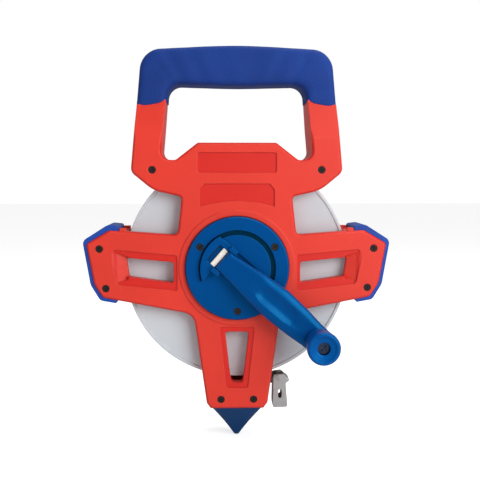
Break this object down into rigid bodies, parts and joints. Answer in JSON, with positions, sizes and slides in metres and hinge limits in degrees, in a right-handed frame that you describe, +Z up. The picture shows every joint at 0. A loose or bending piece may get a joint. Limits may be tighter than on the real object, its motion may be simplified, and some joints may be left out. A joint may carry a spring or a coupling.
{
  "type": "open reel long tape measure",
  "caption": "Open-frame long measuring tape with a hand loop, side arms, a ground spike, a flanged reel, a folding crank with a turning knob, and an end hook.",
  "frame": {"origin": "tip of the ground spike, on the reel's mid-plane", "axes": "+Z up along the column to the hand loop, -Y to the front where the crank is, +X to the right seen from the front"},
  "size_m": [0.2436, 0.0901, 0.317],
  "materials": {
    "frame_red": "satin moulded ABS, finely grained, with scuffed edges",
    "grip_blue": "soft TPR, matt, with fine grain",
    "bumper_blue": "soft TPR",
    "spike_blue": "moulded nylon, scratched at the tip",
    "screw_black": "black oxide screws",
    "bearing_white": "acetal",
    "guide_black": "black acetal",
    "pin_steel": "plated steel",
    "tape_yellow": "coated fibreglass tape",
    "strap_brown": "dark reinforced strap",
    "reel_grey": "light grey moulded ABS",
    "hub_blue": "satin moulded ABS",
    "knob_blue": "satin moulded ABS",
    "tab_white": "off-white acetal",
    "hook_steel": "stamped steel, dull plating"
  },
  "bodies": {
    "frame": {"front_frame": "frame_red", "rear_frame": "frame_red", "grip_sleeve": "grip_blue", "left_bumper": "bumper_blue", "right_bumper": "bumper_blue", "ground_spike": "spike_blue", "frame_screws": "screw_black", "front_bearing_ring": "bearing_white", "rear_bearing_ring": "bearing_white", "mouth_guide": "guide_black", "roller_pin": "pin_steel", "tape_run": "tape_yellow", "end_strap": "strap_brown"},
    "reel": {"front_flange": "reel_grey", "rear_flange": "reel_grey", "drum_core": "reel_grey", "tape_anchor": "pin_steel", "tape_winding": "tape_yellow", "hub_plate": "hub_blue", "hub_screws": "screw_black", "rear_hub_cap": "hub_blue", "rear_hub_screws": "screw_black", "hinge_pin": "pin_steel", "lock_spring": "pin_steel"},
    "crank": {"crank_arm": "hub_blue", "knob_axle": "pin_steel"},
    "knob": {"crank_knob": "knob_blue"},
    "tab": {"lock_tab": "tab_white"},
    "roller": {"guide_roller": "guide_black"},
    "hook": {"end_hook": "hook_steel", "hook_pin": "hook_steel"}
  },
  "joints": [
    {"name": "reel_spin", "type": "hinge", "parent": "frame", "child": "reel", "pos_m": [0, 0, 0.142], "axis": [0, -1, 0], "continuous": true},
    {"name": "crank_fold", "type": "hinge", "parent": "reel", "child": "crank", "pos_m": [-0.00861, -0.033, 0.14962], "axis": [-0.6626, 0, -0.749], "range_deg": [0, 150]},
    {"name": "knob_spin", "type": "hinge", "parent": "crank", "child": "knob", "pos_m": [0.06366, -0.055, 0.08568], "axis": [0, -1, 0], "continuous": true},
    {"name": "lock_slide", "type": "slide", "parent": "reel", "child": "tab", "axis": [-0.749, 0, 0.6626], "range_m": [0, 0.0025], "stiffness_N_per_m": 600, "springref_m": -0.002},
    {"name": "roller_spin", "type": "hinge", "parent": "frame", "child": "roller", "pos_m": [0.01, 0, 0.04808], "axis": [0, -1, 0], "continuous": true},
    {"name": "hook_swing", "type": "hinge", "parent": "frame", "child": "hook", "pos_m": [0.0332, 0, 0.0496], "axis": [0, -1, 0], "range_deg": [0, 75]}
  ],
  "couplings": [
    {"joint": "roller_spin", "follows": "reel_spin", "ratio": -21.8}
  ]
}
